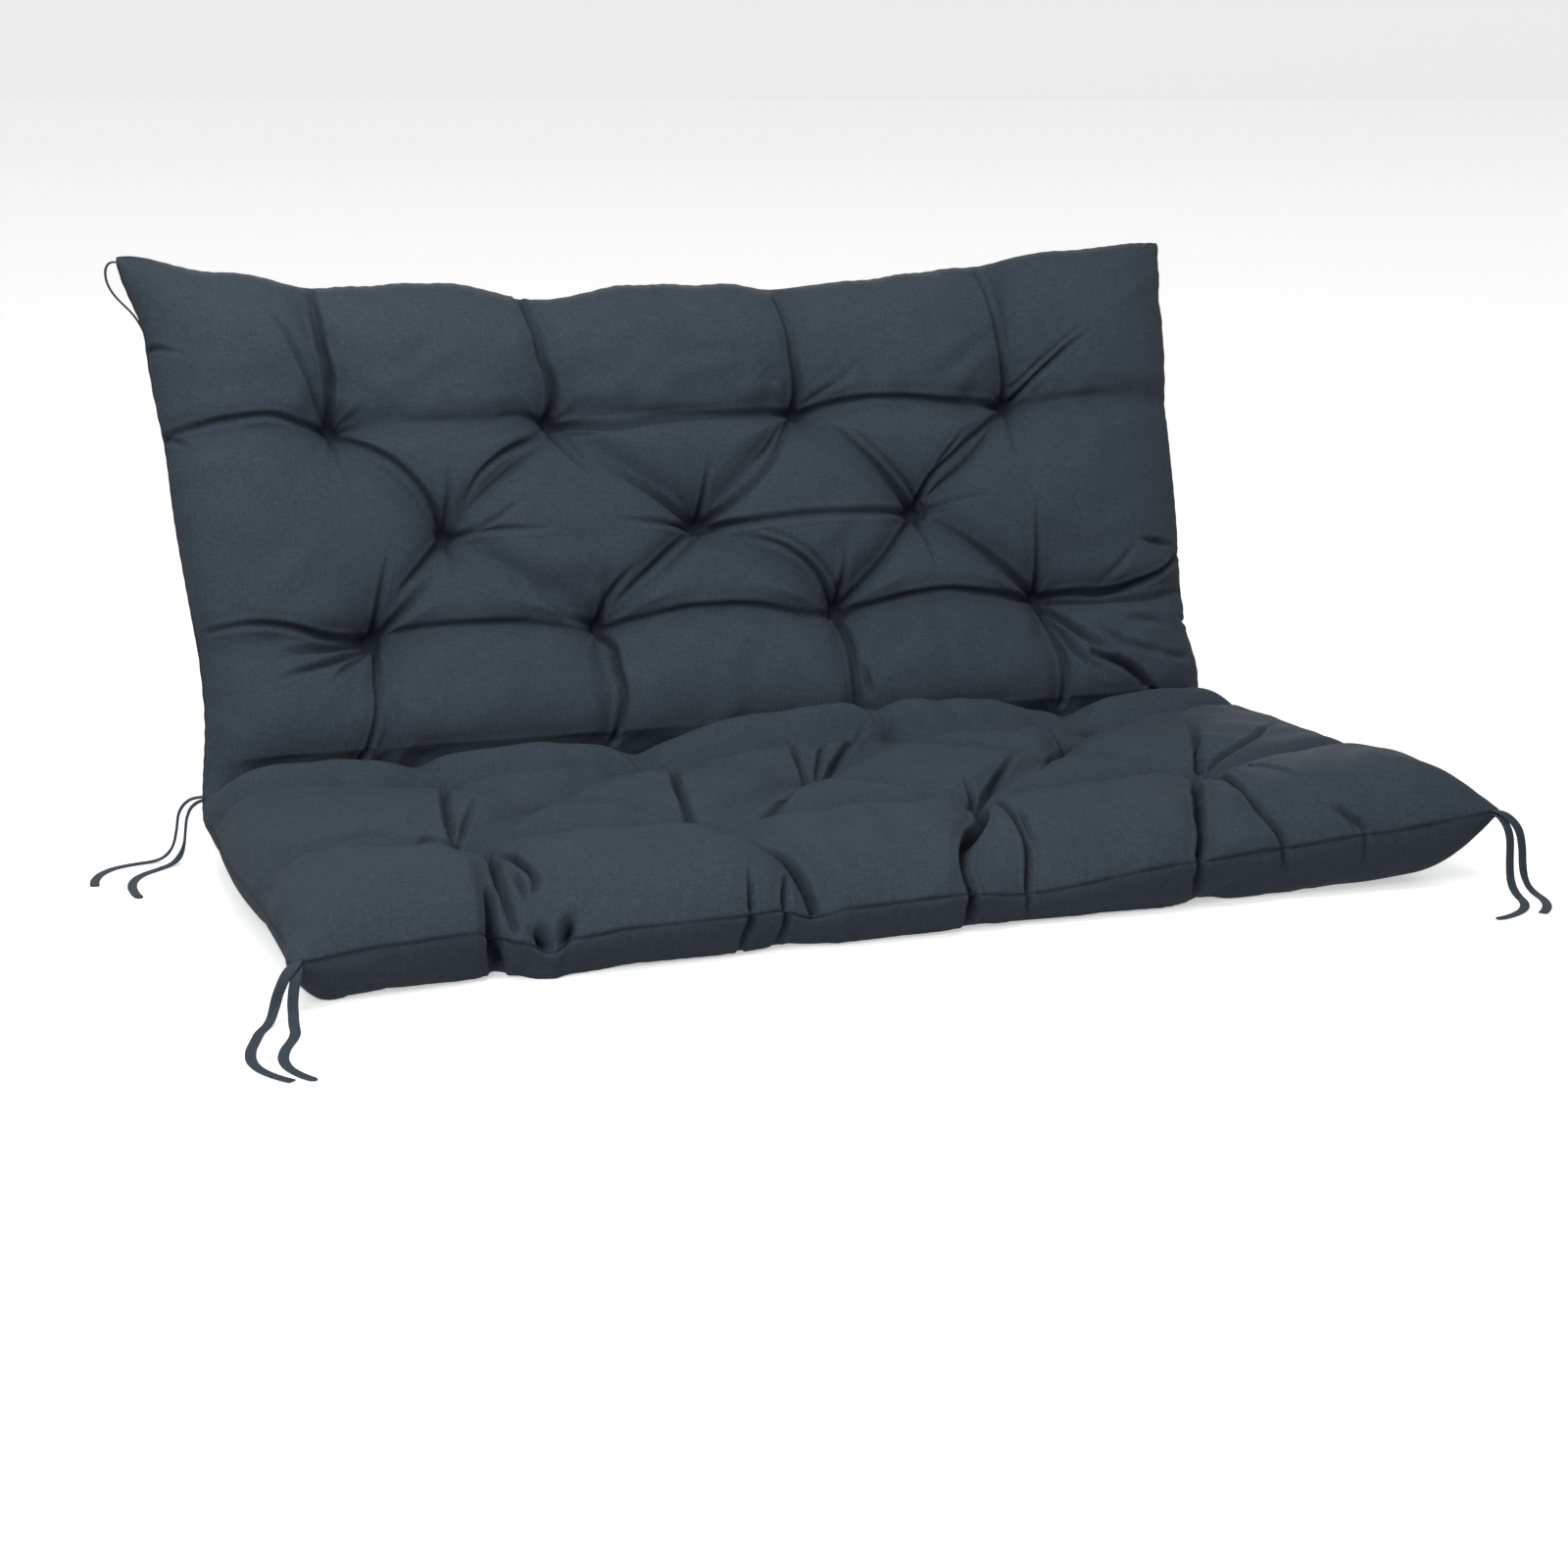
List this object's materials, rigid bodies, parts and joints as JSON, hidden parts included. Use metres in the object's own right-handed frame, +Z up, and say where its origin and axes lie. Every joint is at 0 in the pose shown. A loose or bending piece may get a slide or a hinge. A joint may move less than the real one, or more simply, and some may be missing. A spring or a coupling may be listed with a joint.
{
  "type": "porch swing cushion",
  "caption": "Long tufted cushion folded once along its middle into a seat half and a leaning back half, with flat tie bands sewn into its seam.",
  "frame": {"origin": "middle of the cushion's footprint, on the surface that the seat half lies on; the free tails of the ties aren't counted", "axes": "+X along the length of the cushion, to the right as someone facing it sees it; +Y from the seat's front edge to the back half; +Z up"},
  "size_m": [1.3172, 0.94, 0.5841],
  "materials": {
    "cloth": "matt slate blue outdoor cloth, fine plain weave, faintly mottled",
    "tape": "matt slate blue tie band, cut from the same cloth and folded flat"
  },
  "bodies": {
    "root": {"cushion": "cloth", "tie_front_left_a": "tape", "tie_front_left_b": "tape", "tie_front_right_a": "tape", "tie_front_right_b": "tape", "tie_fold_left_a": "tape", "tie_fold_left_b": "tape", "tie_top_left": "tape"}
  },
  "joints": []
}
